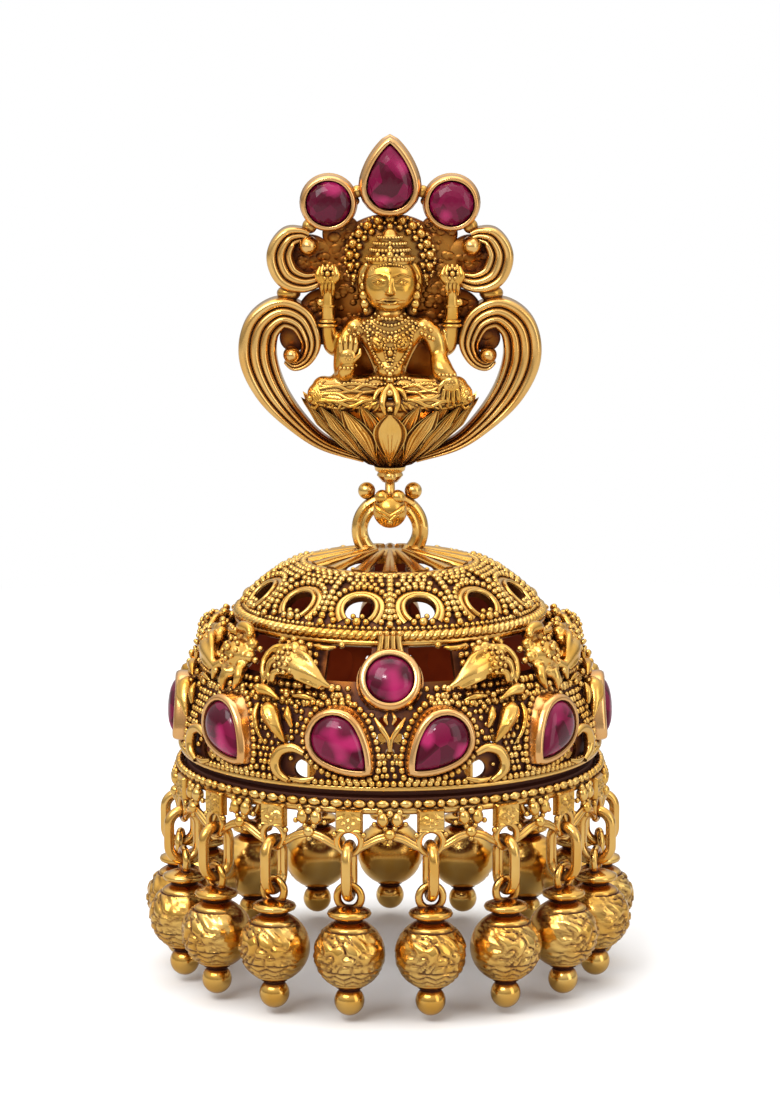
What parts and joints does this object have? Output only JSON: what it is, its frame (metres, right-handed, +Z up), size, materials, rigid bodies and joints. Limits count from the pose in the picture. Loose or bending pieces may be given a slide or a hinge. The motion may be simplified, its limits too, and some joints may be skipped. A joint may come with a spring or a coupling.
{
  "type": "jhumka earring",
  "caption": "Temple jhumka earring: a stud with a seated goddess on a lotus between scrolls, and a pierced gold bell with ruby stones and hanging ball drops.",
  "frame": {"origin": "on the axis of the ear post, in the stud's back plane, where the ear lobe rests", "axes": "+Z up as worn, -Y towards the front of the earring, +Y along the ear post into the ear, +X to the right of someone looking at the front"},
  "size_m": [0.033, 0.0329, 0.0557],
  "materials": {
    "antique_gold": "yellow gold with brown-black patina in the recesses, soft polish on the crests",
    "plain_gold": "plain polished yellow gold",
    "ruby": "raspberry red stone, polished cabochon with soft facets"
  },
  "bodies": {
    "stud": {"stud": "antique_gold", "ear_post": "plain_gold", "stud_stone_left": "ruby", "stud_stone_right": "ruby", "stud_stone_pear": "ruby"},
    "bell": {"bell": "antique_gold", "bell_stone_front": "ruby", "bell_stone_back": "ruby", "bell_pear_01": "ruby", "bell_pear_02": "ruby", "bell_pear_03": "ruby", "bell_pear_04": "ruby", "bell_pear_05": "ruby", "bell_pear_06": "ruby", "bell_pear_07": "ruby", "bell_pear_08": "ruby", "bell_pear_09": "ruby", "bell_pear_10": "ruby", "link_01": "antique_gold", "link_02": "antique_gold", "link_03": "antique_gold", "link_04": "antique_gold", "link_05": "antique_gold", "link_06": "antique_gold", "link_07": "antique_gold", "link_08": "antique_gold", "link_09": "antique_gold", "link_10": "antique_gold", "link_11": "antique_gold", "link_12": "antique_gold", "link_13": "antique_gold", "link_14": "antique_gold", "link_15": "antique_gold", "link_16": "antique_gold", "link_17": "antique_gold", "drop_01": "antique_gold", "drop_02": "antique_gold", "drop_03": "antique_gold", "drop_04": "antique_gold", "drop_05": "antique_gold", "drop_06": "antique_gold", "drop_07": "antique_gold", "drop_08": "antique_gold", "drop_09": "antique_gold", "drop_10": "antique_gold", "drop_11": "antique_gold", "drop_12": "antique_gold", "drop_13": "antique_gold", "drop_14": "antique_gold", "drop_15": "antique_gold", "drop_16": "antique_gold", "drop_17": "antique_gold"}
  },
  "joints": [
    {"name": "bell_swing", "type": "hinge", "parent": "stud", "child": "bell", "pos_m": [0, -0.0015, -0.01573], "axis": [1, 0, 0], "range_deg": [-45, 45]}
  ]
}
